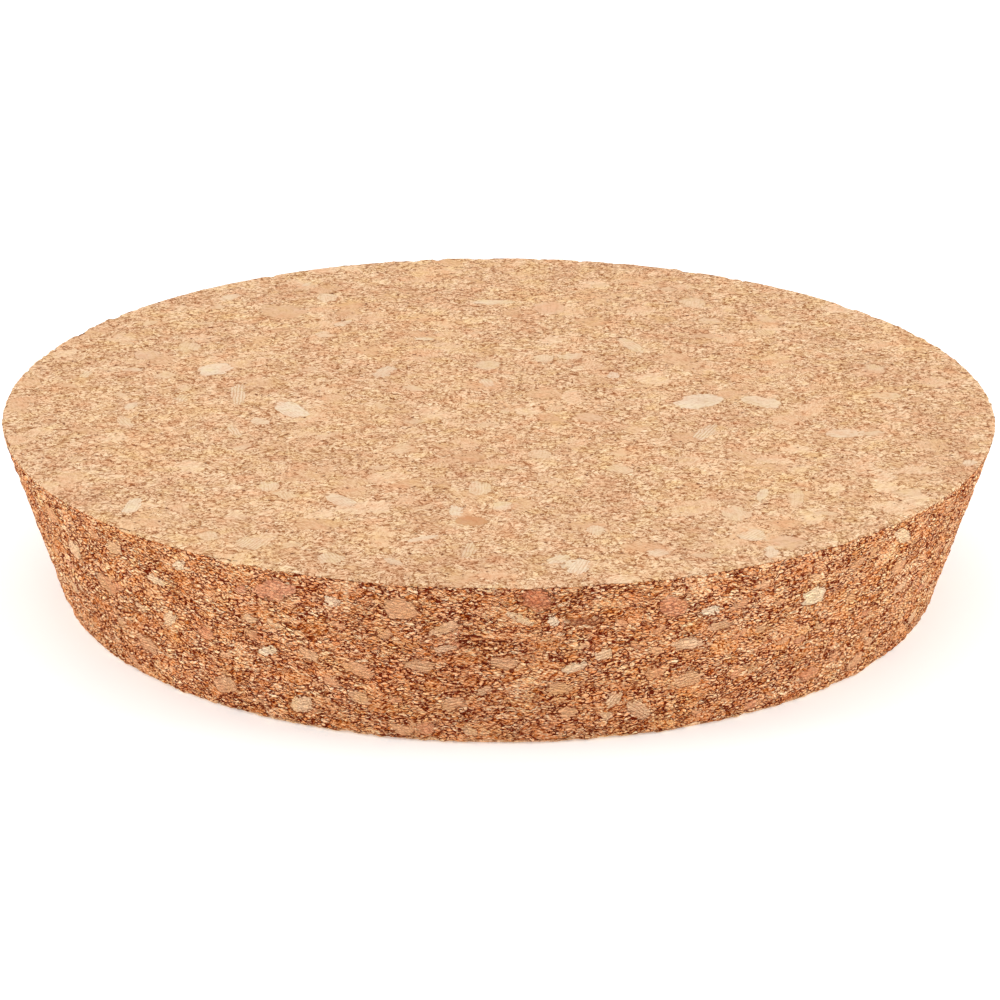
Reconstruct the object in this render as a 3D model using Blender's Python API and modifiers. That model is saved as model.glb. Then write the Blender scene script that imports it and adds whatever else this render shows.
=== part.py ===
"""Wide tapered cork plug: one piece of agglomerated cork that closes the mouth of a jar.

Units are metres, +Z is up. The origin is the centre of the narrow bottom face, the
face that goes into the jar first, and +Z runs up the plug's axis to the wide top face.
"""

import math

import bmesh
import bpy

# ---- driving dimensions (metres) -------------------------------------------------
TOP_DIAMETER = 0.1122  # wide face, to the sharp corner; the worn corner brings it to 112.0 mm
BOTTOM_DIAMETER = 0.0996  # narrow face, goes into the neck
THICKNESS = 0.0200  # board thickness that the plug is cut from
TOP_EDGE = 0.00035  # worn corner of the wide face, along face and side
BOTTOM_EDGE = 0.00045  # worn corner of the narrow face
EDGE_STEPS = 3  # straight steps in each worn corner
SEGMENTS = 192  # facets round the plug

CORK_COLOUR = (0.68, 0.43, 0.24, 1.0)
CORK_ROUGHNESS = 0.85


def clear_scene():
    for obj in list(bpy.data.objects):
        bpy.data.objects.remove(obj, do_unlink=True)


def cork_material():
    mat = bpy.data.materials.new("agglomerated_cork")
    mat.use_nodes = True
    shader = mat.node_tree.nodes["Principled BSDF"]
    shader.inputs["Base Color"].default_value = CORK_COLOUR
    shader.inputs["Roughness"].default_value = CORK_ROUGHNESS
    shader.inputs["Metallic"].default_value = 0.0
    mat.diffuse_color = CORK_COLOUR
    return mat


def worn_corner(corner, before, after, size):
    """Points of a quadratic round of the corner, between two points that lie size away
    from it towards before and towards after. All are (radius, height)."""

    def towards(a, b):
        length = math.hypot(b[0] - a[0], b[1] - a[1])
        return (
            a[0] + (b[0] - a[0]) * size / length,
            a[1] + (b[1] - a[1]) * size / length,
        )

    start, end = towards(corner, before), towards(corner, after)
    points = []
    for i in range(EDGE_STEPS + 1):
        t = i / EDGE_STEPS
        points.append(
            tuple(
                (1 - t) ** 2 * start[k] + 2 * t * (1 - t) * corner[k] + t * t * end[k]
                for k in (0, 1)
            )
        )
    return points


def plug_profile():
    """Half of the plug's section, from the centre of the wide face, out over the top
    edge, down the tapered side and in to the centre of the narrow face."""
    top_centre, top_rim = (0.0, THICKNESS), (TOP_DIAMETER / 2, THICKNESS)
    low_rim, low_centre = (BOTTOM_DIAMETER / 2, 0.0), (0.0, 0.0)
    return (
        [top_centre]
        + worn_corner(top_rim, top_centre, low_rim, TOP_EDGE)
        + worn_corner(low_rim, top_rim, low_centre, BOTTOM_EDGE)
        + [low_centre]
    )


def turned(name, profile, material, collection):
    """A solid of revolution about Z: an open profile of edges with a Screw modifier."""
    mesh = bpy.data.meshes.new(name)
    bm = bmesh.new()
    verts = [bm.verts.new((radius, 0.0, height)) for radius, height in profile]
    for a, b in zip(verts, verts[1:]):
        bm.edges.new((a, b))
    bm.to_mesh(mesh)
    bm.free()
    obj = bpy.data.objects.new(name, mesh)
    collection.objects.link(obj)
    screw = obj.modifiers.new("turn", "SCREW")
    screw.axis = "Z"
    screw.angle = math.tau
    screw.steps = SEGMENTS
    screw.render_steps = SEGMENTS
    screw.use_merge_vertices = True
    screw.merge_threshold = 0.00002
    screw.use_smooth_shade = False
    mesh.materials.append(material)
    return obj


def main():
    clear_scene()
    collection = bpy.data.collections.new("tapered_cork_plug")
    bpy.context.scene.collection.children.link(collection)

    # The whole object is one block: granules pressed with a binder into a board, cut
    # round and ground to a taper. Nothing on it is fitted, jointed or fastened.
    plug = turned("cork_plug", plug_profile(), cork_material(), collection)
    plug.location = (0.0, 0.0, 0.0)


main()
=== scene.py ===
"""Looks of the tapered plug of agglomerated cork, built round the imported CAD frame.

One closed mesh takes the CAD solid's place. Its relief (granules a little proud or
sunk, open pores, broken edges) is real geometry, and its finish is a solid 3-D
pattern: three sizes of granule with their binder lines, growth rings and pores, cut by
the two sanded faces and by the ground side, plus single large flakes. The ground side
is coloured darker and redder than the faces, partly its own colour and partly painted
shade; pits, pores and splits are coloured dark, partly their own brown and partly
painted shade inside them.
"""

import math

import bpy
import numpy as np
from mathutils import Matrix, Vector


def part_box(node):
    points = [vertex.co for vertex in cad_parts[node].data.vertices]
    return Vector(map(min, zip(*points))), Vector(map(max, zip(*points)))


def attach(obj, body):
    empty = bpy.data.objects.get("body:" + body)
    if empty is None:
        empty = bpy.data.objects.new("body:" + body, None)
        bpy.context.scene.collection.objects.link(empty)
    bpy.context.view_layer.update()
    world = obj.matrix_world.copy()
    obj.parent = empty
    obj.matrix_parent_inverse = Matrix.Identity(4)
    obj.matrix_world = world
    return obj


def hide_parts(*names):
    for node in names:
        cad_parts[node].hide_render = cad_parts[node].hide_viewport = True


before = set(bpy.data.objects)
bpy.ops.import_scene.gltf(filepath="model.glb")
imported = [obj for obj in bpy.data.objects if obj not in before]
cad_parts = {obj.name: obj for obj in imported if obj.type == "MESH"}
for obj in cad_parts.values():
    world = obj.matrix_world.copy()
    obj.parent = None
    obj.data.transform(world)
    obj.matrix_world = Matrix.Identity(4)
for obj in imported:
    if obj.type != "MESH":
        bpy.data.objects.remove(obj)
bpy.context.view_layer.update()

box_low, box_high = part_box("cork_plug")

MM = 0.001
HEIGHT = (box_high.z - box_low.z) / MM  # 20 mm
BASE_Z = box_low.z
RNG = np.random.default_rng(7)


def linear(r, g, b):
    """Colour given as 0-255 sRGB, as linear RGBA."""
    out = []
    for c in (r, g, b):
        c = c / 255.0
        out.append(c / 12.92 if c <= 0.04045 else ((c + 0.055) / 1.055) ** 2.4)
    return (*out, 1.0)


# ---------------------------------------------------------------- node building


class Net:
    """Short calls that add nodes to a shader tree or a geometry tree."""

    def __init__(self, tree):
        self.tree = tree
        self.geometry = tree.bl_idname == "GeometryNodeTree"

    def add(self, kind, **settings):
        node = self.tree.nodes.new(kind)
        for key, value in settings.items():
            setattr(node, key, value)
        return node

    def put(self, socket, value):
        if value is None:
            return
        if isinstance(value, bpy.types.NodeSocket):
            self.tree.links.new(value, socket)
        else:
            socket.default_value = value

    def math(self, op, a, b=None, c=None, clamp=False):
        node = self.add("ShaderNodeMath", operation=op, use_clamp=clamp)
        for socket, value in zip(node.inputs, (a, b, c)):
            self.put(socket, value)
        return node.outputs[0]

    def vec(self, op, a, b=None, scale=None):
        node = self.add("ShaderNodeVectorMath", operation=op)
        self.put(node.inputs[0], a)
        self.put(node.inputs[1], b)
        if scale is not None:
            self.put(node.inputs["Scale"], scale)
        return node.outputs[1 if op in ("DOT_PRODUCT", "LENGTH", "DISTANCE") else 0]

    def split(self, v):
        node = self.add("ShaderNodeSeparateXYZ")
        self.put(node.inputs[0], v)
        return node.outputs[0], node.outputs[1], node.outputs[2]

    def join(self, x, y, z):
        node = self.add("ShaderNodeCombineXYZ")
        for socket, value in zip(node.inputs, (x, y, z)):
            self.put(socket, value)
        return node.outputs[0]

    def fit(self, value, low, high, out_low=0.0, out_high=1.0, smooth=True):
        node = self.add(
            "ShaderNodeMapRange",
            interpolation_type="SMOOTHSTEP" if smooth else "LINEAR",
        )
        for name, v in (
            ("Value", value),
            ("From Min", low),
            ("From Max", high),
            ("To Min", out_low),
            ("To Max", out_high),
        ):
            self.put(node.inputs[name], v)
        return node.outputs["Result"]

    def noise(self, v, size, detail=2.0, rough=0.5, colour=False, distortion=0.0):
        """Noise with features about size millimetres apart."""
        node = self.add("ShaderNodeTexNoise", noise_dimensions="3D")
        self.put(node.inputs["Vector"], v)
        node.inputs["Scale"].default_value = 1.0 / size
        node.inputs["Detail"].default_value = detail
        node.inputs["Roughness"].default_value = rough
        node.inputs["Distortion"].default_value = distortion
        return node.outputs["Color" if colour else 0]

    def cells(self, v, size, feature="F1", randomness=1.0):
        node = self.add(
            "ShaderNodeTexVoronoi", voronoi_dimensions="3D", feature=feature
        )
        self.put(node.inputs["Vector"], v)
        node.inputs["Scale"].default_value = 1.0 / size
        node.inputs["Randomness"].default_value = randomness
        return node

    def ramp(self, fac, stops, interpolation="LINEAR"):
        node = self.add("ShaderNodeValToRGB")
        self.put(node.inputs[0], fac)
        ramp = node.color_ramp
        ramp.interpolation = interpolation
        while len(ramp.elements) > 1:
            ramp.elements.remove(ramp.elements[-1])
        ramp.elements[0].position = stops[0][0]
        ramp.elements[0].color = linear(*stops[0][1])
        for position, colour in stops[1:]:
            ramp.elements.new(position).color = linear(*colour)
        return node.outputs[0]

    def mix(self, fac, a, b, blend="MIX"):
        node = self.add("ShaderNodeMix", data_type="RGBA", blend_type=blend)
        self.put(node.inputs[0], fac)
        self.put(node.inputs[6], a)
        self.put(node.inputs[7], b)
        return node.outputs[2]

    def blend(self, fac, a, b):
        node = self.add("ShaderNodeMix", data_type="FLOAT")
        self.put(node.inputs[0], fac)
        self.put(node.inputs[2], a)
        self.put(node.inputs[3], b)
        return node.outputs[0]

    def attribute(self, name, vector=True):
        if self.geometry:
            node = self.add(
                "GeometryNodeInputNamedAttribute",
                data_type="FLOAT_VECTOR" if vector else "FLOAT",
            )
            node.inputs["Name"].default_value = name
            return node.outputs[0]
        node = self.add("ShaderNodeAttribute", attribute_name=name)
        return node.outputs["Vector" if vector else "Fac"]


# ---------------------------------------------------------------- the cork pattern

LARGE, MEDIUM, SMALL = 3.0, 1.4, 0.80  # mean granule sizes, mm
PRESSED = 2.3  # the board was pressed along Z: granules lie flat


def granule_space(net, p, side):
    """Kneaded coordinates in which the granules are cells. Pressing the board laid the
    granules flat, which shows on the side (side = 1) and not on the faces (side = 0)."""
    lean = net.noise(p, 7.0, detail=1.0, colour=True)
    lean = net.vec("MULTIPLY_ADD", lean, (1.6, 1.6, 2.6))
    net.put(lean.node.inputs[2], (-0.8, -0.8, -1.3 - HEIGHT))
    q = net.vec("ADD", p, lean)
    press = net.math("MULTIPLY_ADD", net.math("GREATER_THAN", side, 0.5), PRESSED - 1.0, 1.0)
    q = net.vec("MULTIPLY", q, net.join(1.0, 1.0, press))
    rough = net.noise(p, 0.95, detail=2.0, rough=0.6, colour=True)
    rough = net.vec("MULTIPLY_ADD", rough, (0.9, 0.9, 0.9))
    net.put(rough.node.inputs[2], (-0.45, -0.45, -0.45))
    return net.vec("ADD", q, rough)


def granules(net, q, size, offset):
    """One size of granule: three random numbers each, and the distance to its edge in mm."""
    moved = net.vec("ADD", q, offset)
    f1 = net.cells(moved, size)
    edge = net.cells(moved, size, feature="DISTANCE_TO_EDGE").outputs["Distance"]
    rand = net.split(f1.outputs["Color"])
    return rand, net.math("MULTIPLY", edge, size)


def fibres(net, p, side, rand, thin, long):
    """Fibre noise, thin and long (mm) along one random way per granule: any level way on
    a face, roughly along the board on the ground side."""
    x, y, z = net.split(p)
    depth = net.vec("LENGTH", net.join(x, y, 0.0))
    arc = net.math("MULTIPLY", net.math("ARCTAN2", y, x), (R_TOP + R_LOW) / 2)
    loose = net.vec("SUBTRACT", rand, (0.5, 0.5, 0.5))
    pick = net.add("ShaderNodeMix", data_type="VECTOR")
    net.put(pick.inputs[0], side)
    net.put(pick.inputs[4], p)
    net.put(pick.inputs[5], net.join(arc, depth, z))
    place = pick.outputs[1]
    pick = net.add("ShaderNodeMix", data_type="VECTOR")
    net.put(pick.inputs[0], side)
    net.put(pick.inputs[4], net.vec("MULTIPLY", loose, (1.0, 1.0, 0.4)))
    net.put(pick.inputs[5], net.vec("ADD", net.vec("MULTIPLY", loose, (0.4, 0.6, 0.8)), (0.6, 0.0, 0.0)))
    way = net.vec("NORMALIZE", pick.outputs[1])
    along = net.math("MULTIPLY", net.vec("DOT_PRODUCT", place, way), 1 / long - 1 / thin)
    q = net.vec("ADD", net.vec("SCALE", place, scale=1 / thin), net.vec("SCALE", way, scale=along))
    return net.noise(q, 1.0, detail=2.0, rough=0.55, distortion=0.5)


# ---------------------------------------------------------------- single large flakes
# Flakes that stand out on the plug, in millimetres from its axis. On the wide face:
# (x, y, half length, half width, turn in degrees, tone, growth rings). On the side:
# (direction in degrees, height, half length, half width, turn, tone, growth rings).
# Tone: 1 palest cream, 0 like its surroundings, -0.6 pinkish, -1 orange red,
# -1.6 dark brown, -2 an open split.

FACE_FLAKES = [
    (-33.1, 11.6, 2.4, 1.7, 51, 1.0, 0.2), (-29.8, 2.8, 3.5, 0.9, -88, 0.75, 1.0),
    (-23.5, -2.4, 2.7, 1.5, -62, 1.0, 0.15), (-21.2, 39.2, 1.6, 1.2, -84, 0.6, 0.3),
    (-20.9, 24.6, 1.1, 1.0, -29, 0.6, 0.2), (-26.3, 33.4, 2.7, 2.5, -25, -0.45, 0.9),
    (-41.7, -1.4, 1.2, 0.6, 73, 0.7, 0.2), (-41.8, -6.8, 2.1, 0.7, -69, 0.55, 0.6),
    (-42.6, 11.3, 1.2, 0.6, -2, 0.6, 0.3), (-36.6, 19.7, 1.7, 1.3, 83, 0.4, 0.3),
    (-38.6, -33.5, 2.3, 0.8, 83, 1.0, 0.3), (-26.7, -6.5, 1.2, 0.9, -47, 0.6, 0.1),
    (-29.3, -10.1, 2.2, 0.5, -74, 0.6, 0.9), (-24.5, -27.3, 1.4, 1.1, -82, 0.55, 0.4),
    (-22.4, -30.1, 1.1, 1.0, -75, 0.5, 0.5), (-41.3, 16.8, 1.7, 1.4, -71, -0.6, 0.0),
    (-25.7, -44.3, 1.6, 1.5, 64, 0.55, 0.9), (-30.0, -42.1, 1.3, 1.0, -79, 0.45, 0.3),
    (-0.6, 37.6, 2.5, 1.0, 0, 0.8, 0.3), (6.2, 35.4, 2.4, 1.6, 89, -0.5, 0.0),
    (-18.8, 29.0, 1.5, 0.6, 53, 0.7, 0.2), (-8.8, 23.1, 1.1, 0.6, 0, 0.7, 0.1),
    (-13.3, 10.9, 2.1, 1.0, 69, 0.8, 0.3), (15.7, 20.9, 2.8, 0.9, -65, 0.6, 0.4),
    (5.3, 16.1, 1.3, 1.2, 86, 0.55, 0.2), (8.6, 16.8, 1.2, 1.1, 8, 0.6, 0.3),
    (-1.3, 13.5, 1.5, 1.5, -39, 0.55, 0.5), (13.3, 10.0, 1.1, 0.7, 87, 1.0, 0.1),
    (-1.3, 7.0, 1.5, 0.7, -73, 0.7, 0.5), (-16.7, -31.6, 2.0, 1.1, -56, 0.75, 0.3),
    (-4.5, -34.6, 1.5, 0.7, -89, 0.85, 0.1), (0.5, -33.0, 1.3, 1.0, 90, 0.65, 0.2),
    (-2.9, -37.5, 1.6, 1.4, -34, -1.15, 0.9), (-7.8, -42.7, 1.7, 0.6, 30, 0.75, 0.2),
    (-3.0, -45.8, 2.1, 0.7, 81, 0.55, 0.9), (8.2, -50.3, 2.0, 1.1, 75, 0.95, 0.6),
    (-2.0, -27.7, 2.0, 1.2, -90, 0.55, 0.4), (10.3, -40.0, 1.3, 1.0, 86, 0.6, 0.3),
    (10.1, -4.7, 1.6, 1.3, -33, -0.6, 0.1), (22.6, 0.8, 3.1, 2.1, 37, 1.0, 0.25),
    (30.0, 0.8, 2.4, 1.7, -45, 0.7, 0.1), (23.1, -9.5, 2.7, 0.9, 68, 0.8, 1.0),
    (43.8, 12.7, 1.7, 1.1, -88, 0.45, 0.1), (38.2, -9.8, 1.7, 1.3, 7, 0.75, 0.5),
    (44.3, 3.1, 1.6, 1.2, 9, 0.5, 0.3), (41.9, -9.8, 1.3, 0.7, 2, 0.5, 0.8),
    (51.3, -19.2, 1.0, 0.7, 76, 0.8, 0.2), (28.1, -29.4, 1.8, 0.6, 78, 0.7, 0.2),
    (31.7, -30.4, 2.4, 0.8, 85, 0.4, 0.2), (26.2, -41.3, 1.7, 1.4, 54, 0.95, 0.5),
    (25.0, -35.1, 2.0, 1.5, -81, 0.4, 0.2), (29.9, -43.1, 1.8, 1.7, 34, -0.5, 0.1),
    (28.0, -46.1, 1.6, 0.7, 85, 0.8, 0.3), (23.8, 37.6, 2.0, 1.5, 84, 0.4, 0.2),
    (6.3, -48.3, 1.5, 1.0, 59, 0.8, 0.3), (-17.2, -48.3, 1.4, 1.3, -69, 0.6, 0.6),
    (13.2, -21.7, 1.5, 1.2, -63, 0.4, 0.3), (-10.8, -15.4, 1.6, 1.3, 53, 0.35, 0.4),
    (4.6, -17.0, 1.3, 1.2, 85, 0.35, 0.3), (16.4, -46.4, 1.2, 1.0, 46, 0.7, 0.2),
]  # fmt: skip

SIDE_FLAKES = [
    (-85.9, 18.3, 1.6, 1.2, -54, -1.0, 0.9), (-84.1, 15.5, 0.6, 0.5, -60, 1.0, 0.0),
    (-81.0, 15.4, 1.9, 0.5, 0, -1.6, 0.2), (-91.8, 13.1, 2.75, 1.0, 0, -2.0, 0.0),
    (-81.4, 9.6, 1.2, 0.6, 23, 0.85, 0.2), (-78.3, 11.0, 0.9, 0.7, 22, 0.7, 0.6),
    (-76.6, 5.2, 1.0, 0.7, 55, 0.75, 0.9), (-73.3, 3.5, 1.8, 0.8, -40, 0.6, 1.0),
    (-87.6, 16.0, 1.4, 0.4, -32, 0.8, 0.3), (-95.7, 14.6, 1.8, 0.6, 30, 0.45, 0.2),
    (-95.9, 12.1, 1.2, 0.4, 14, 0.75, 0.3), (-71.0, 16.3, 1.6, 1.2, -41, -0.85, 0.1),
    (-66.5, 15.0, 1.1, 0.5, -12, 1.0, 0.3), (-52.7, 13.9, 1.5, 1.1, -3, 0.95, 0.2),
    (-68.6, 11.2, 1.8, 0.6, -3, 0.7, 0.3), (-39.3, 17.5, 2.0, 0.7, -32, 0.8, 0.3),
    (-126.6, 17.6, 1.1, 0.5, 26, 0.9, 0.2), (-116.9, 9.1, 1.2, 0.5, 27, 1.0, 0.1),
    (-131.0, 14.6, 1.2, 0.6, -12, 0.8, 0.2), (-130.6, 9.9, 1.3, 0.6, 41, 0.8, 0.2),
    (-107.8, 16.9, 0.8, 0.6, 15, 0.9, 0.2), (-114.3, 17.2, 2.3, 1.2, 21, -0.7, 0.2),
    (-65.0, 12.9, 1.4, 0.6, 6, 0.4, 0.9), (-67.5, 6.5, 1.6, 0.9, 10, 0.4, 1.0),
    (-89.3, 10.4, 1.4, 0.8, -8, 0.35, 0.9), (-98.7, 9.7, 1.5, 0.8, -5, 0.35, 0.9),
    (-106.1, 4.9, 1.3, 0.8, -16, 0.4, 0.8), (-83.0, 7.0, 1.3, 0.8, -8, 0.35, 0.9),
    (-95.0, 5.1, 1.4, 0.8, 20, 0.3, 1.0),
]  # fmt: skip


def scatter_flakes(flakes, wanted, place, sizes, clear, period=None, pale=0.66):
    """Adds random flakes between the given ones, with clear millimetres between any two."""
    flakes = list(flakes)
    tries = 0
    while wanted > 0 and tries < 40000:
        tries += 1
        a, b = place()
        half = sizes[0] * (sizes[1] / sizes[0]) ** (RNG.random() ** 1.6)
        slim = half * RNG.uniform(0.38, 0.8)
        far = True
        for f in flakes:
            dx = abs(a - f[0])
            if period:
                dx = min(dx, period - dx)
            if math.hypot(dx, b - f[1]) < half + f[2] + clear:
                far = False
                break
        if not far:
            continue
        kind = RNG.random()
        if kind < pale:
            tone = 0.1 + 0.62 * RNG.random() ** 2
        elif kind < 1 - (1 - pale) * 0.1:
            tone = RNG.uniform(-0.7, -0.3)
        else:
            tone = RNG.uniform(-1.4, -0.9)
        turn = RNG.uniform(-90, 90)
        if period:
            turn *= 0.4
        flakes.append((a, b, half, slim, turn, tone, RNG.random() ** 1.5))
        wanted -= 1
    return flakes


# ---------------------------------------------------------------- mesh

SEGMENTS = 960  # facets round the side
CORNER_STEPS = 5
node_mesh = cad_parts["cork_plug"].data
cad = np.array([v.co for v in node_mesh.vertices])
cad_r = np.hypot(cad[:, 0], cad[:, 1]) / MM
cad_z = (cad[:, 2] - BASE_Z) / MM
# The straight side is the longest edge of the section: its two ends give the cone.
levels = sorted({round(float(z), 3) for z in cad_z})
section = [(float(cad_r[np.abs(cad_z - z) < 0.002].max()), z) for z in levels]
gaps = [section[i + 1][1] - section[i][1] for i in range(len(section) - 1)]
widest = int(np.argmax(gaps))
(side_r0, side_z0), (side_r1, side_z1) = section[widest], section[widest + 1]
slope = (side_r1 - side_r0) / (side_z1 - side_z0)
R_LOW = side_r0 - slope * side_z0  # sharp corners of the cone
R_TOP = side_r1 + slope * (HEIGHT - side_z1)
TAPER = math.atan(slope)
SIDE_NORMAL = (math.cos(TAPER), -math.sin(TAPER))


def corner(before, at, after, size, steps):
    """Rounded corner between two straight lines, as (radius, height) points."""

    def towards(a, b):
        d = math.hypot(b[0] - a[0], b[1] - a[1])
        return (a[0] + (b[0] - a[0]) * size / d, a[1] + (b[1] - a[1]) * size / d)

    s, e = towards(at, before), towards(at, after)
    out = []
    for i in range(steps + 1):
        t = i / steps
        out.append(
            tuple(
                (1 - t) ** 2 * s[k] + 2 * t * (1 - t) * at[k] + t * t * e[k]
                for k in (0, 1)
            )
        )
    return out


def disc_rings(radius, spacing, outer_segments):
    """Radii and facet counts from the centre out to, but without, the outer ring."""
    rings = []
    r, count = radius, outer_segments
    step = 2 * math.pi * radius / outer_segments
    while True:
        step = min(spacing, step * 1.12)
        r -= step * 0.95
        if r < spacing * 0.8:
            break
        rings.append((r, max(6, int(round(2 * math.pi * r / step)))))
    return rings[::-1]


def build_profile():
    """Rings as (radius, height, facets), from wide face to narrow face."""
    top = corner((0, HEIGHT), (R_TOP, HEIGHT), (R_LOW, 0), 0.24, CORNER_STEPS)
    low = corner((R_TOP, HEIGHT), (R_LOW, 0), (0, 0), 0.42, CORNER_STEPS)
    rows = []
    for r, n in disc_rings(top[0][0], 0.67, SEGMENTS):
        rows.append((r, HEIGHT, n))
    rows += [(r, z, SEGMENTS) for r, z in top]
    length = math.hypot(top[-1][0] - low[0][0], top[-1][1] - low[0][1])
    count = int(round(length / 0.395))
    for i in range(1, count):
        t = i / count
        rows.append(
            (
                top[-1][0] + (low[0][0] - top[-1][0]) * t,
                top[-1][1] + (low[0][1] - top[-1][1]) * t,
                SEGMENTS,
            )
        )
    rows += [(r, z, SEGMENTS) for r, z in low]
    for r, n in disc_rings(low[-1][0], 0.84, SEGMENTS)[::-1]:
        rows.append((r, 0.0, n))
    return rows, top, low


rows, top_corner, low_corner = build_profile()

points = [(0.0, 0.0, HEIGHT)]
starts, twists = [], []
for index, (r, z, n) in enumerate(rows):
    starts.append(len(points))
    twist = 0.0 if n == SEGMENTS else RNG.random()
    twists.append(twist)
    for k in range(n):
        angle = 2 * math.pi * (k + twist) / n
        points.append((r * math.cos(angle), r * math.sin(angle), z))
points.append((0.0, 0.0, 0.0))
P = np.array(points)
last = len(points) - 1

# Face points off their circles a little, so that no ring pattern shows.
edge_band = 1.1
radius = np.hypot(P[:, 0], P[:, 1])
top_flat = (P[:, 2] > HEIGHT - 1e-6) & (radius < top_corner[0][0] - edge_band)
low_flat = (P[:, 2] < 1e-6) & (radius < low_corner[-1][0] - edge_band)
loose = top_flat | low_flat
loose[0] = loose[last] = False
shift = RNG.uniform(-0.13, 0.13, (len(P), 2))
P[loose, :2] += shift[loose]

faces = []


def stitch(inner, outer, face_list):
    """Closes the strip between an inner and an outer ring, both counter-clockwise."""
    a, na, b, nb = starts[inner], rows[inner][2], starts[outer], rows[outer][2]
    i = j = 0
    while i < na or j < nb:
        next_a = (i + 1 + twists[inner]) / na if i < na else 9e9
        next_b = (j + 1 + twists[outer]) / nb if j < nb else 9e9
        pa, pb = a + i % na, b + j % nb
        if next_a <= next_b:
            face_list.append((pa, pb, a + (i + 1) % na))
            i += 1
        else:
            face_list.append((pa, pb, b + (j + 1) % nb))
            j += 1


side_faces = []
first = starts[0]
n_first = rows[0][2]
for k in range(n_first):
    faces.append((0, first + k, first + (k + 1) % n_first))
for s in range(len(rows) - 1):
    a, b = starts[s], starts[s + 1]
    if rows[s][2] == SEGMENTS and rows[s + 1][2] == SEGMENTS:
        for k in range(SEGMENTS):
            k1 = (k + 1) % SEGMENTS
            side_faces.append((a + k, b + k, b + k1, a + k1))
    elif rows[s][1] > HEIGHT / 2:
        stitch(s, s + 1, faces)
    else:
        turned = []
        stitch(s + 1, s, turned)
        faces += [f[::-1] for f in turned]
tail = starts[-1]
n_tail = rows[-1][2]
for k in range(n_tail):
    faces.append((last, tail + (k + 1) % n_tail, tail + k))
disc_face_count = len(faces)
all_faces = faces + side_faces

mesh = bpy.data.meshes.new("cork_plug_body")
mesh.from_pydata([tuple(v) for v in (P * MM + (0, 0, BASE_Z))], [], all_faces)
mesh.validate()
mesh.update()

# Outward direction of the ideal surface at each point.
radius = np.hypot(P[:, 0], P[:, 1])
around = np.where(radius[:, None] > 1e-9, P[:, :2] / np.maximum(radius, 1e-9)[:, None], 0)
turn = np.zeros(len(P))  # meant as 1 wide face, 0 side, -1 narrow face; left at 0 everywhere and not used
turn[:] = 0.0
lift_top = np.clip((P[:, 2] - top_corner[-1][1]) / (HEIGHT - top_corner[-1][1]), 0, 1)
lift_low = np.clip((low_corner[0][1] - P[:, 2]) / low_corner[0][1], 0, 1)
normal = np.zeros_like(P)
normal[:, :2] = around * SIDE_NORMAL[0]
normal[:, 2] = SIDE_NORMAL[1]
normal = normal * (1 - lift_top - lift_low)[:, None]
normal[:, 2] += lift_top - lift_low
normal /= np.maximum(np.linalg.norm(normal, axis=1), 1e-9)[:, None]

# How close each point is to either rim, 1 on the rim.
slant = math.hypot(R_TOP - R_LOW, HEIGHT)
to_top = np.where(
    lift_top >= 1.0, R_TOP - radius, (HEIGHT - P[:, 2]) / HEIGHT * slant
)
to_low = np.where(lift_low >= 1.0, R_LOW - radius, P[:, 2] / HEIGHT * slant)
rim = np.exp(-((np.minimum(to_top, to_low) / 0.55) ** 2))


def store(name, values):
    attribute = mesh.attributes.new(name, "FLOAT_VECTOR", "POINT")
    attribute.data.foreach_set("vector", np.asarray(values, np.float32).ravel())


# ---- flakes: where each point lies inside its nearest flake
flake_at = np.zeros((len(P), 3))
flake_at[:, :2] = 3.0
flake_kind = np.zeros((len(P), 3))
flake_slim = np.ones(len(P))


def lay_flakes(flakes, members, s, t, reach, period=None):
    index = np.nonzero(members)[0]
    best = np.full(len(index), 9e9)
    for number, (a, b, half, slim, angle, tone, rings) in enumerate(flakes):
        ds = s[index] - a
        if period:
            ds = (ds + period / 2) % period - period / 2
        dt = t[index] - b
        near = np.nonzero(np.hypot(ds, dt) < half + reach + 0.8)[0]
        if not len(near):
            continue
        c, sn = math.cos(math.radians(angle)), math.sin(math.radians(angle))
        u = (ds[near] * c + dt[near] * sn)
        v = (-ds[near] * sn + dt[near] * c)
        out = np.hypot(u / (half + reach), v / (slim + reach))
        take = (out < 1.0) & (out < best[near])
        rows_taken = near[take]
        best[rows_taken] = out[take]
        where = index[rows_taken]
        flake_at[where, 0] = u[take] / half
        flake_at[where, 1] = v[take] / slim
        flake_at[where, 2] = 1.0
        flake_kind[where] = (tone, rings, (number * 0.618) % 1.0)
        flake_slim[where] = slim


def in_disc(limit):
    def place():
        r, a = limit * math.sqrt(RNG.random()), RNG.uniform(0, 2 * math.pi)
        return r * math.cos(a), r * math.sin(a)

    return place


MEAN_R = (R_TOP + R_LOW) / 2
ROUND = 2 * math.pi * MEAN_R
face_flakes = scatter_flakes(FACE_FLAKES, 40, in_disc(R_TOP - 3), (0.9, 1.6), 1.2, pale=1.0)
low_flakes = scatter_flakes([], 75, in_disc(R_LOW - 3), (1.0, 3.0), 1.2, pale=0.85)
side_given = [
    (math.radians(a) * MEAN_R, z / math.cos(TAPER), *rest)
    for a, z, *rest in SIDE_FLAKES
]
side_flakes = scatter_flakes(
    side_given,
    190,
    lambda: (
        RNG.uniform(-ROUND / 2, ROUND / 2),
        RNG.uniform(1.2, HEIGHT - 1.2),
    ),
    (0.7, 1.7),
    0.3,
    ROUND,
    pale=0.84,
)
theta = np.arctan2(P[:, 1], P[:, 0])
is_top = lift_top >= 1.0
is_low = lift_low >= 1.0
is_side = ~(is_top | is_low)
lay_flakes(face_flakes, is_top, P[:, 0], P[:, 1], 0.95)
lay_flakes(low_flakes, is_low, P[:, 0], P[:, 1], 1.15)
lay_flakes(side_flakes, is_side, theta * MEAN_R, P[:, 2] / math.cos(TAPER), 0.5, ROUND)

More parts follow.
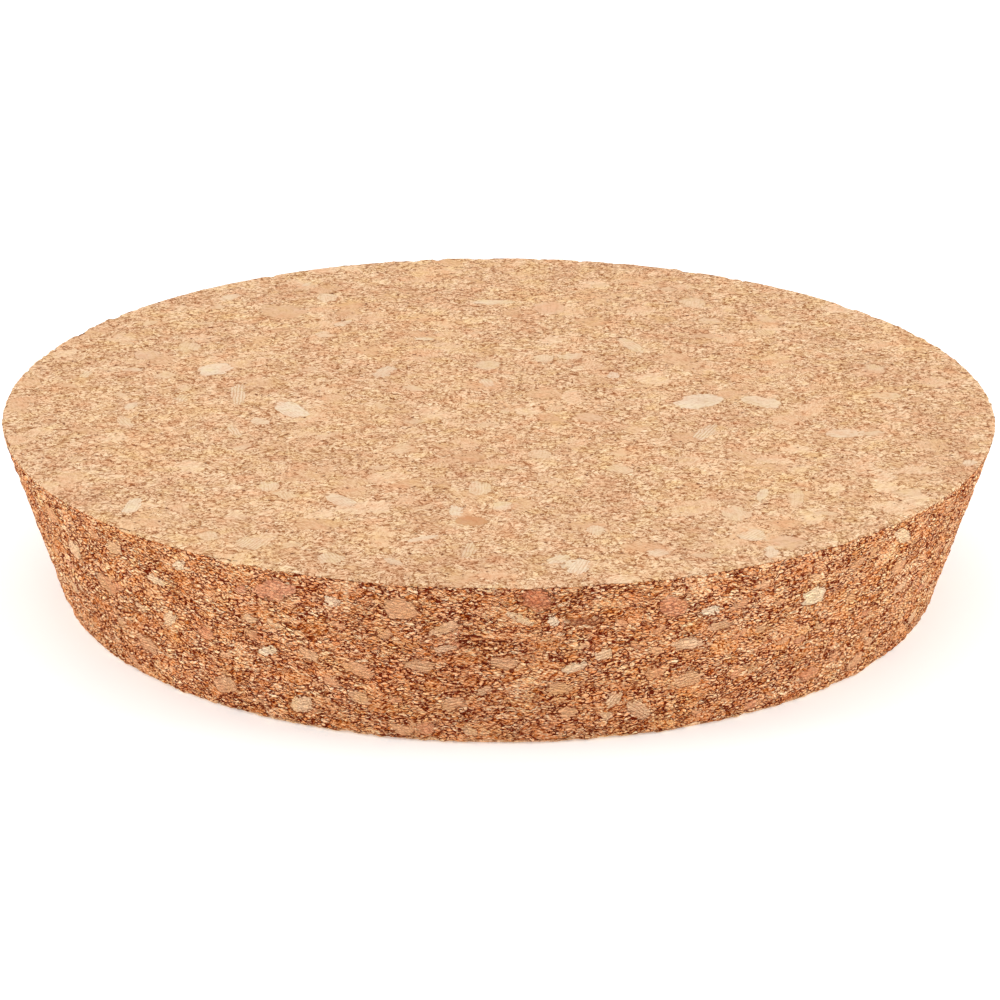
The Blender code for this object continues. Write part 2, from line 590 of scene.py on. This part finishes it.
store("grain_mm", P)
store("outward", normal)
store("flake_at", flake_at)
store("flake_kind", flake_kind)
store("rim_near", np.stack([rim, is_side, flake_slim], 1))


# ---------------------------------------------------------------- relief


def relief_tree():
    """Moves each point along its outward direction by the height of the cork there."""
    tree = bpy.data.node_groups.new("cork_relief", "GeometryNodeTree")
    tree.interface.new_socket("Geometry", in_out="INPUT", socket_type="NodeSocketGeometry")
    tree.interface.new_socket("Geometry", in_out="OUTPUT", socket_type="NodeSocketGeometry")
    net = Net(tree)
    start = net.add("NodeGroupInput")
    end = net.add("NodeGroupOutput")
    p = net.attribute("grain_mm")
    out = net.attribute("outward")
    rim_v, side_v, _ = net.split(net.attribute("rim_near"))
    at = net.attribute("flake_at")
    kind = net.attribute("flake_kind")
    fu, fv, on = net.split(at)
    tone, _, _ = net.split(kind)

    q = granule_space(net, p, side_v)
    big, big_edge = granules(net, q, LARGE, (0.0, 0.0, 0.0))
    mid, mid_edge = granules(net, q, MEDIUM, (31.0, 17.0, 5.0))
    # granules a little proud or sunk, with grooves between them
    step_big = net.math("MULTIPLY_ADD", big[1], 0.10, -0.05)
    step_mid = net.math("MULTIPLY_ADD", mid[1], 0.10, -0.05)
    groove = net.fit(mid_edge, 0.0, 0.22, -0.13, 0.0)
    groove_big = net.fit(big_edge, 0.0, 0.3, -0.08, 0.0)
    uneven = net.math("MULTIPLY_ADD", net.noise(p, 0.8, detail=3.0, rough=0.65), 0.26, -0.13)
    side = net.math("ADD", step_big, step_mid)
    side = net.math("ADD", side, groove)
    side = net.math("ADD", side, groove_big)
    side = net.math("ADD", side, uneven)
    # pores and torn-out granules
    gone = net.fit(mid[2], 0.93, 0.95)
    hollow = net.math("MULTIPLY", gone, net.fit(mid_edge, 0.05, 0.4, 0.0, -0.33))
    side = net.math("ADD", side, hollow)
    side = net.math("SUBTRACT", side, 0.02)
    face = net.math("MULTIPLY", side, 0.16)
    height = net.blend(side_v, face, side)
    # broken-out granules along the rims
    lost = net.fit(mid[0], 0.80, 0.84)
    lost = net.math("MULTIPLY", lost, net.fit(mid_edge, 0.0, 0.35, 0.0, -0.24))
    lost2 = net.math("MULTIPLY", net.fit(big[0], 0.93, 0.95), net.fit(big_edge, 0.0, 0.6, 0.0, -0.32))
    lost = net.math("MULTIPLY", net.math("ADD", lost, lost2), rim_v)
    height = net.math("ADD", height, lost)
    # a flake lies level; a split is open
    reach = net.vec("LENGTH", net.join(fu, fv, 0.0))
    inside = net.math("MULTIPLY", net.fit(reach, 1.15, 0.85), net.fit(on, 0.5, 0.95))
    level = net.math("MULTIPLY", height, 0.45)
    split = net.fit(tone, -1.7, -1.95, 0.0, -0.45)
    split = net.math("MULTIPLY", split, net.fit(fv, 0.3, 0.0))
    level = net.math("ADD", level, split)
    height = net.blend(inside, height, level)

    move = net.vec("SCALE", out, scale=net.math("MULTIPLY", height, MM))
    place = net.add("GeometryNodeSetPosition")
    tree.links.new(start.outputs[0], place.inputs["Geometry"])
    tree.links.new(move, place.inputs["Offset"])
    tree.links.new(place.outputs[0], end.inputs[0])
    return tree


body = bpy.data.objects.new("cork_plug_body", mesh)
bpy.context.scene.collection.objects.link(body)
relief = body.modifiers.new("relief", "NODES")
relief.node_group = relief_tree()
bpy.context.view_layer.update()
solved = bpy.data.meshes.new_from_object(
    body.evaluated_get(bpy.context.evaluated_depsgraph_get())
)
body.modifiers.clear()
body.data = solved
solved.name = "cork_plug_body"
bpy.data.meshes.remove(mesh)
mesh = solved
mesh.polygons.foreach_set("use_smooth", np.ones(len(mesh.polygons), bool))
mesh.update()

# ---------------------------------------------------------------- unwrapped layout
# The wide face large, the narrow face smaller beside it, the side in two strips below.


def unwrap():
    layer = mesh.uv_layers.new(name="OFBake")
    count = len(mesh.loops)
    loop_vertex = np.empty(count, np.int64)
    mesh.loops.foreach_get("vertex_index", loop_vertex)
    starts_ = np.empty(len(mesh.polygons), np.int64)
    totals = np.empty(len(mesh.polygons), np.int64)
    mesh.polygons.foreach_get("loop_start", starts_)
    mesh.polygons.foreach_get("loop_total", totals)
    poly = np.repeat(np.arange(len(mesh.polygons)), totals)
    uv = np.zeros((count, 2))
    on_disc = poly < disc_face_count
    xy = P[loop_vertex]
    per_mm_top = 0.302 / top_corner[0][0]
    per_mm_low = 0.178 / low_corner[-1][0]
    mean_z = np.zeros(len(mesh.polygons))
    np.add.at(mean_z, poly, xy[:, 2])
    mean_z /= totals
    up = on_disc & (mean_z[poly] > HEIGHT / 2)
    down = on_disc & ~up
    uv[up] = xy[up, :2] * per_mm_top + (0.306, 0.692)
    uv[down] = xy[down, :2] * (per_mm_low, -per_mm_low) + (0.812, 0.812)
    # along the section, 0 at the narrow face's flat to 1 at the wide face's flat
    profile = low_corner[::-1] + top_corner[::-1]
    travel = np.zeros(len(P))
    heights = np.array([z for _, z in profile])
    radii = np.array([r for r, _ in profile])
    walk = np.concatenate([[0], np.cumsum(np.hypot(np.diff(radii), np.diff(heights)))])
    walk /= walk[-1]
    travel = np.interp(P[:, 2], heights, walk)
    travel[P[:, 2] >= HEIGHT - 1e-9] = 1.0
    travel[P[:, 2] <= 1e-9] = 0.0
    side_loops = ~on_disc
    index = (np.arange(len(mesh.polygons)) - disc_face_count) % SEGMENTS
    col = index[poly]
    vertex_col = (loop_vertex - starts[[i for i, r in enumerate(rows) if r[2] == SEGMENTS][0]]) % SEGMENTS
    wrap = (vertex_col == 0) & (col == SEGMENTS - 1)
    around_ = np.where(wrap, SEGMENTS, vertex_col) / SEGMENTS  # 0..1 from +X, counter-clockwise
    half = (col >= SEGMENTS // 2).astype(float)
    x = (around_ - half * 0.5) * 2  # 0..1 inside each strip
    u = 0.008 + 0.984 * x
    v = np.where(half > 0, 0.192, 0.008) + travel[loop_vertex] * 0.172
    uv[side_loops, 0] = u[side_loops]
    uv[side_loops, 1] = v[side_loops]
    layer.data.foreach_set("uv", uv.astype(np.float32).ravel())


unwrap()

# ---------------------------------------------------------------- cork finish

# Colours of the ground side, darker and redder than the faces' colours below: partly the ground cork's own colour
# and partly painted shade, as the side faces a little downward and takes less light.
SIDE_TONES_WITH_SHADE = [
    (0.00, (116, 40, 6)),
    (0.12, (166, 78, 16)),
    (0.30, (210, 122, 56)),
    (0.52, (236, 162, 110)),
    (0.74, (246, 186, 138)),
    (0.90, (252, 204, 158)),
    (1.00, (254, 220, 182)),
]
FACE_TONES = [
    (0.00, (197, 146, 105)),
    (0.22, (219, 171, 131)),
    (0.45, (231, 188, 149)),
    (0.70, (242, 203, 165)),
    (1.00, (253, 222, 187)),
]


def cork():
    mat = bpy.data.materials.new("agglomerated_cork")
    mat.use_nodes = True
    tree = mat.node_tree
    tree.nodes.clear()
    net = Net(tree)
    surface = net.add("ShaderNodeBsdfPrincipled")
    output = net.add("ShaderNodeOutputMaterial")
    tree.links.new(surface.outputs[0], output.inputs["Surface"])

    p = net.attribute("grain_mm")
    _, _, z = net.split(p)

    # which surface: 1 ground side, 0 sanded face, with a ragged line at the rims
    rag = net.math("MULTIPLY_ADD", net.noise(p, 0.7, detail=2.0), 0.36, -0.18)
    z_rag = net.math("ADD", z, rag)
    below = net.fit(z_rag, HEIGHT - 0.16, HEIGHT - 0.03, 1.0, 0.0)
    above = net.fit(z_rag, 0.10, 0.30)
    side = net.math("MULTIPLY", below, above)
    off_face = net.fit(z, HEIGHT - 0.02, HEIGHT - 0.002, 1.0, 0.0)
    side = net.math("MULTIPLY", side, net.math("MULTIPLY", off_face, net.fit(z, 0.002, 0.02)))

    q = granule_space(net, p, side)
    big, big_edge = granules(net, q, LARGE, (0.0, 0.0, 0.0))
    mid, mid_edge = granules(net, q, MEDIUM, (31.0, 17.0, 5.0))
    fine, fine_edge = granules(net, q, SMALL, (11.0, 43.0, 23.0))
    grit = net.noise(p, 0.22, detail=2.0, rough=0.65)
    patch = net.noise(p, 9.0, detail=2.0, rough=0.55)
    p_pore = net.vec("MULTIPLY", p, (1.0, 1.0, 1.7))
    p_pore = net.vec("SCALE", p_pore, scale=net.math("MULTIPLY_ADD", side, 0.30, 0.70))
    pore = net.noise(p_pore, 0.36, detail=2.0, rough=0.6)
    broken = net.noise(p, 0.55, detail=2.0, rough=0.6)

    # granules that are whole, in three sizes, finer ones between the coarser
    has_big = net.math("GREATER_THAN", big[0], 0.80)
    has_mid = net.math("GREATER_THAN", mid[0], 0.64)
    tone = net.blend(has_mid, fine[1], mid[1])
    tone = net.blend(has_big, tone, big[1])
    edge = net.blend(has_mid, fine_edge, mid_edge)
    edge = net.blend(has_big, edge, big_edge)
    coarse = net.math("MAXIMUM", has_big, has_mid)

    # growth rings across each granule, in its own direction
    heading = net.add("ShaderNodeMix", data_type="VECTOR")
    net.put(heading.inputs[0], has_mid)
    net.put(heading.inputs[4], net.join(fine[0], fine[1], fine[2]))
    net.put(heading.inputs[5], net.join(mid[0], mid[1], mid[2]))
    heading_big = net.add("ShaderNodeMix", data_type="VECTOR")
    net.put(heading_big.inputs[0], has_big)
    net.put(heading_big.inputs[4], heading.outputs[1])
    net.put(heading_big.inputs[5], net.join(big[0], big[1], big[2]))
    fibre_way = net.split(heading_big.outputs[1])
    fibre_way = net.join(fibre_way[1], fibre_way[0], fibre_way[2])
    strand = fibres(net, p, side, fibre_way, 0.21, 1.15)
    heading = net.vec("SUBTRACT", heading_big.outputs[1], (0.5, 0.5, -0.75))
    heading = net.vec("NORMALIZE", net.vec("MULTIPLY", heading, (1.0, 1.0, 0.55)))
    bend = net.noise(p, 1.1, detail=3.0, rough=0.55)
    phase = net.vec("DOT_PRODUCT", p, heading)
    phase = net.math("ADD", net.math("MULTIPLY", phase, 2 * math.pi / 0.34), net.math("MULTIPLY", bend, 15.0))
    wave = net.math("SINE", phase)
    ring = net.fit(net.math("MULTIPLY_ADD", grit, 1.6, net.math("SUBTRACT", wave, 0.85)), 0.0, 0.8)
    ringed = net.blend(has_big, net.blend(has_mid, fine[2], mid[2]), big[2])
    ringed = net.math("MULTIPLY_ADD", ringed, 0.75, 0.25)

    # ---- side, in darker and redder colours: partly its own, partly painted shade
    spread = net.math("MULTIPLY_ADD", coarse, -0.06, 0.38)
    tone_side = net.math("MULTIPLY", net.math("SUBTRACT", tone, 0.5), spread)
    tone_side = net.math("ADD", net.math("ADD", tone_side, 0.60), net.math("MULTIPLY_ADD", grit, 0.8, -0.40))
    tone_side = net.math("ADD", tone_side, net.math("MULTIPLY_ADD", strand, 2.0, -1.0))
    colour = net.ramp(tone_side, SIDE_TONES_WITH_SHADE)
    ring_dark = net.math("MULTIPLY", net.math("MULTIPLY", ring, ringed), 0.75)
    colour = net.mix(ring_dark, colour, linear(138, 52, 10))
    seam_width = net.fit(broken, 0.40, 0.60, 0.005, 0.14)
    seam_width = net.math("MULTIPLY", seam_width, net.math("MULTIPLY_ADD", coarse, 0.25, 0.75))
    seam = net.math("SUBTRACT", 1.0, net.fit(edge, 0.0, seam_width))
    colour = net.mix(net.math("MULTIPLY", seam, 0.95), colour, linear(116, 32, 0))
    near_seam = net.fit(edge, 0.16, 0.0, 0.0, 0.07)
    open_grain = net.math("MULTIPLY_ADD", pore, 0.62, net.math("MULTIPLY_ADD", strand, -0.5, 0.44))
    # open pores painted near black: partly their own dark brown, partly painted shade inside them
    pore_hole_with_shade = net.fit(net.math("ADD", open_grain, near_seam), 0.537, 0.57)
    pore_hole_with_shade = net.math("MULTIPLY", pore_hole_with_shade, net.math("SUBTRACT", 1.0, net.math("MULTIPLY", coarse, 0.20)))
    side_colour_with_shade = net.mix(net.math("MULTIPLY", pore_hole_with_shade, 0.95), colour, linear(98, 20, 0))

    # ---- sanded faces
    tone_face = net.math("MULTIPLY_ADD", tone, 0.40, 0.32)
    tone_face = net.math("ADD", tone_face, net.math("MULTIPLY_ADD", grit, 1.1, -0.55))
    tone_face = net.math("ADD", tone_face, net.math("MULTIPLY_ADD", strand, 1.7, -0.85))
    colour = net.ramp(tone_face, FACE_TONES)
    colour = net.mix(net.math("MULTIPLY", net.math("MULTIPLY", ring, ringed), 0.22), colour, linear(176, 118, 70))
    reach_line = net.math("MINIMUM", fine_edge, net.math("MULTIPLY", mid_edge, 0.7))
    dash_width = net.fit(broken, 0.42, 0.62, 0.01, 0.11)
    dash = net.math("SUBTRACT", 1.0, net.fit(reach_line, 0.0, dash_width))
    dash = net.math("MULTIPLY", dash, net.math("MULTIPLY_ADD", coarse, -0.25, 0.68))
    colour = net.mix(dash, colour, linear(150, 88, 44))
    # one in seven of the large granules shows as a pale smooth patch
    patch_in = net.math("MULTIPLY", net.math("GREATER_THAN", big[0], 0.86), net.fit(big_edge, 0.02, 0.30))
    patch_tone = net.math("MULTIPLY_ADD", big[1], 0.7, net.math("MULTIPLY_ADD", strand, 0.9, -0.30))
    patch_colour = net.ramp(patch_tone, [(0.0, (217, 168, 127)), (0.5, (229, 186, 149)), (1.0, (238, 203, 169))])
    colour = net.mix(net.math("MULTIPLY", patch_in, 0.60), colour, patch_colour)
    near_line = net.fit(reach_line, 0.2, 0.0, 0.0, 0.05)
    speck = net.fit(net.math("ADD", open_grain, near_line), 0.56, 0.61)
    speck = net.math("MULTIPLY", speck, net.math("SUBTRACT", 0.78, net.math("MULTIPLY", net.math("MAXIMUM", patch_in, net.math("MULTIPLY", coarse, 0.4)), 0.6)))
    colour = net.mix(speck, colour, linear(146, 86, 42))
    # small open pits, painted dark: partly their own brown, partly painted shade inside them
    pit_with_shade = net.fit(net.noise(p, 0.55, detail=1.0), 0.70, 0.74)
    colour_face = net.mix(net.math("MULTIPLY", pit_with_shade, 0.85), colour, linear(104, 52, 22))

    colour = net.mix(side, colour_face, side_colour_with_shade)

    # ---- single large flakes
    fu, fv, on = net.split(net.attribute("flake_at"))
    f_tone, f_rings, f_seed = net.split(net.attribute("flake_kind"))
    reach = net.math("ADD", net.math("POWER", net.math("ABSOLUTE", fu), 2.4), net.math("POWER", net.math("ABSOLUTE", fv), 2.0))
    outline = net.noise(net.join(fu, fv, net.math("MULTIPLY", f_seed, 37.0)), 0.9, detail=1.0)
    _, _, slim = net.split(net.attribute("rim_near"))
    frayed = net.math("DIVIDE", net.math("MULTIPLY_ADD", net.noise(p, 0.40, detail=2.0), 1.5, -0.75), slim)
    ragged = net.math("ADD", net.math("MULTIPLY_ADD", outline, 2.2, -1.1), frayed)
    reach = net.math("ADD", reach, ragged)
    allowed = net.math("GREATER_THAN", on, 0.97)
    inside = net.math("MULTIPLY", net.fit(reach, 1.06, 0.90), allowed)
    border = net.math("MULTIPLY", net.math("SUBTRACT", net.fit(reach, 1.5, 1.15), inside, clamp=True), allowed)
    f_fac = net.math("MULTIPLY_ADD", f_tone, 1 / 3, 2 / 3)
    # pale flakes a little darker on the side: partly painted shade
    f_fac = net.math("SUBTRACT", f_fac, net.math("MULTIPLY", side, net.math("MAXIMUM", net.math("MULTIPLY", f_tone, 0.01), 0.0)))
    flake_face = net.ramp(
        f_fac,
        [
            (0.0, (96, 50, 26)),
            (0.15, (150, 92, 58)),
            (0.25, (200, 142, 100)),
            (0.333, (212, 158, 120)),
            (0.45, (225, 184, 152)),
            (0.60, (229, 186, 150)),
            (0.80, (232, 198, 164)),
            (0.90, (234, 206, 176)),
            (1.0, (237, 214, 188)),
        ],
    )
    # on the side the flakes take darker, redder colours than on the faces: partly their own colour, partly
    # painted shade
    flake_side_with_shade = net.ramp(
        f_fac,
        [
            (0.0, (104, 36, 16)),
            (0.05, (112, 46, 22)),
            (0.14, (152, 92, 64)),
            (0.333, (218, 138, 102)),
            (0.45, (230, 160, 126)),
            (0.60, (230, 162, 118)),
            (0.70, (233, 171, 127)),
            (0.80, (239, 188, 146)),
            (0.90, (244, 203, 165)),
            (1.0, (250, 224, 192)),
        ],
    )
    flake = net.mix(side, flake_face, flake_side_with_shade)
    fibre = net.noise(net.vec("MULTIPLY", net.join(fu, net.math("ADD", fv, f_seed), f_seed), (1.0, 7.0, 1.0)), 1.0, detail=2.0)
    # flake lines darker and stronger on the side than on the faces: partly their own colour, partly painted shade
    line_colour = net.mix(side, linear(196, 146, 104), linear(150, 82, 46))
    fibre_dark = net.math("MULTIPLY", net.fit(fibre, 0.42, 0.72), net.math("MULTIPLY_ADD", side, 0.05, 0.33))
    whole = net.fit(f_tone, -1.9, -1.6)
    flake = net.mix(net.math("MULTIPLY", fibre_dark, whole), flake, line_colour)
    flake = net.mix(net.math("MULTIPLY", net.fit(pore, 0.54, 0.62), net.math("MULTIPLY", whole, 0.30)), flake, line_colour)
    across = net.math("MULTIPLY", net.math("MULTIPLY", fv, slim), 2 * math.pi / 0.36)
    f_wave = net.math("SINE", net.math("ADD", across, net.math("MULTIPLY", bend, 9.0)))
    f_line = net.math("MULTIPLY", net.fit(f_wave, 0.1, 0.95), net.math("MULTIPLY", net.math("MULTIPLY", f_rings, whole), net.math("MULTIPLY_ADD", side, -0.15, 0.72)))
    flake = net.mix(f_line, flake, line_colour)
    # the split: a ragged gap under a thin lip, with a short crack above it, both coloured dark brown: partly
    # their own colour, partly painted shade in them
    open_ = net.fit(f_tone, -1.8, -1.95)
    split_crack_shade = net.math("ABSOLUTE", net.math("SUBTRACT", fv, net.math("MULTIPLY_ADD", net.math("POWER", net.math("ADD", fu, 0.45), 2.0), -0.7, 0.80)))
    split_crack_shade = net.math("MULTIPLY", net.fit(split_crack_shade, 0.24, 0.10), net.fit(net.math("ABSOLUTE", net.math("ADD", fu, 0.45)), 0.60, 0.45))
    split_gap_shade = net.math("MULTIPLY", net.fit(fv, 0.20, 0.05), net.fit(pore, 0.44, 0.52))
    shown = net.math("MAXIMUM", split_crack_shade, split_gap_shade)
    inside = net.blend(open_, inside, net.math("MULTIPLY", inside, shown))
    border = net.math("MULTIPLY", border, net.math("SUBTRACT", 1.0, open_))
    cover = net.blend(side, 0.88, net.fit(f_tone, -1.2, 0.6, 0.60, 0.88, smooth=False))
    cover = net.math("MULTIPLY", inside, net.math("MAXIMUM", open_, cover))
    # flake borders darker on the side than on the faces: partly their own colour, partly painted shade
    colour = net.mix(net.math("MULTIPLY", border, net.math("MULTIPLY_ADD", side, 0.45, 0.15)), colour, linear(110, 52, 26))
    colour = net.mix(cover, colour, flake)

    # ---- slow changes of shade over the board
    shade = net.ramp(patch, [(0.25, (244, 236, 232)), (0.5, (255, 255, 255)), (0.75, (255, 250, 240))])
    colour = net.mix(1.0, colour, shade, blend="MULTIPLY")
    hue = net.noise(p, 2.6, detail=2.0, rough=0.6)
    shade = net.ramp(hue, [(0.30, (255, 242, 236)), (0.5, (255, 255, 255)), (0.70, (255, 254, 240))])
    colour = net.mix(1.0, colour, shade, blend="MULTIPLY")
    net.put(surface.inputs["Base Color"], colour)

    rough = net.math("MULTIPLY_ADD", net.math("MAXIMUM", seam, pore_hole_with_shade), 0.10, 0.78)
    net.put(surface.inputs["Roughness"], rough)
    surface.inputs["IOR"].default_value = 1.45
    surface.inputs["Specular IOR Level"].default_value = 0.03
    surface.inputs["Sheen Weight"].default_value = 0.0
    surface.inputs["Sheen Roughness"].default_value = 0.5

    # ---- fine relief, below what the mesh carries
    cut = net.fit(fine_edge, 0.0, 0.14)
    level = net.math("MULTIPLY_ADD", pore, -0.9, cut)
    bump = net.add("ShaderNodeBump")
    bump.inputs["Strength"].default_value = 1.0
    net.put(bump.inputs["Distance"], net.math("MULTIPLY_ADD", side, 0.00010, 0.00002))
    net.put(bump.inputs["Height"], level)
    net.put(surface.inputs["Normal"], bump.outputs[0])
    return mat


mesh.materials.clear()
mesh.materials.append(cork())
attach(body, "root")
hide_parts("cork_plug")

# ---------------------------------------------------------------- studio

scene = bpy.context.scene
scene.view_settings.view_transform = "Standard"
scene.view_settings.look = "None"


def make_floor():
    size = 3.0
    floor_mesh = bpy.data.meshes.new("floor")
    floor_mesh.from_pydata(
        [(-size, -size, 0), (size, -size, 0), (size, size, 0), (-size, size, 0)],
        [],
        [(0, 1, 2, 3)],
    )
    floor = bpy.data.objects.new("floor", floor_mesh)
    floor.location.z = box_low.z - 0.0001
    bpy.context.scene.collection.objects.link(floor)
    mat = bpy.data.materials.new("floor")
    mat.use_nodes = True
    net = Net(mat.node_tree)
    shader = mat.node_tree.nodes["Principled BSDF"]
    where = net.add("ShaderNodeTexCoord").outputs["Object"]
    cloud = net.noise(where, 0.4, detail=3.0)
    net.put(
        shader.inputs["Base Color"],
        net.ramp(cloud, [(0.3, (250, 250, 250)), (0.7, (254, 254, 254))]),
    )
    shader.inputs["Roughness"].default_value = 0.9
    shader.inputs["Specular IOR Level"].default_value = 0.1
    # a white table lit a little from below, as for goods on a white ground
    shader.inputs["Emission Color"].default_value = (1.0, 1.0, 1.0, 1.0)
    shader.inputs["Emission Strength"].default_value = 0.23
    floor_mesh.materials.append(mat)


def make_light(name, kind, location, target, power, size, colour=(1, 1, 1)):
    data = bpy.data.lights.new(name, kind)
    data.energy = power
    data.color = colour
    data.shape = "RECTANGLE"
    data.size, data.size_y = size
    light = bpy.data.objects.new(name, data)
    light.location = location
    direction = Vector(target) - Vector(location)
    light.rotation_euler = direction.to_track_quat("-Z", "Y").to_euler()
    bpy.context.scene.collection.objects.link(light)


make_floor()
world = bpy.data.worlds.new("studio")
scene.world = world
world.use_nodes = True
world.node_tree.nodes["Background"].inputs["Color"].default_value = (1.0, 1.0, 1.0, 1.0)
world.node_tree.nodes["Background"].inputs["Strength"].default_value = 0.95
make_light("overhead", "AREA", (-0.15, 0.25, 0.95), (0, 0, 0.01), 0.9, (0.9, 0.9))
make_light("left", "AREA", (-1.0, -0.17, 0.22), (0, 0, 0.01), 5.2, (0.5, 0.4), (0.84, 1.06, 1.08))
make_light("right", "AREA", (1.0, -0.13, 0.22), (0, 0, 0.01), 6.0, (0.5, 0.4), (0.83, 1.06, 1.09))

# ---------------------------------------------------------------- camera

centre = (Vector(box_low) + Vector(box_high)) / 2
elevation = math.radians(20.63)
distance = 8 * 0.056
aim = centre + Vector((0, 0, -0.00178))
forward = Vector((0, math.cos(elevation), -math.sin(elevation)))
camera_data = bpy.data.cameras.new("camera")
camera_data.sensor_width = 36.0
camera_data.lens = 36.0 * 3.9084
camera_data.shift_x = 0.0017
camera_data.clip_start = 0.01
camera_data.clip_end = 20
camera = bpy.data.objects.new("camera", camera_data)
roll = Matrix.Rotation(math.radians(0.21), 4, "Z")
camera.matrix_world = (
    Matrix.Translation(aim - forward * distance)
    @ forward.to_track_quat("-Z", "Y").to_matrix().to_4x4()
    @ roll
)
scene.collection.objects.link(camera)
scene.camera = camera
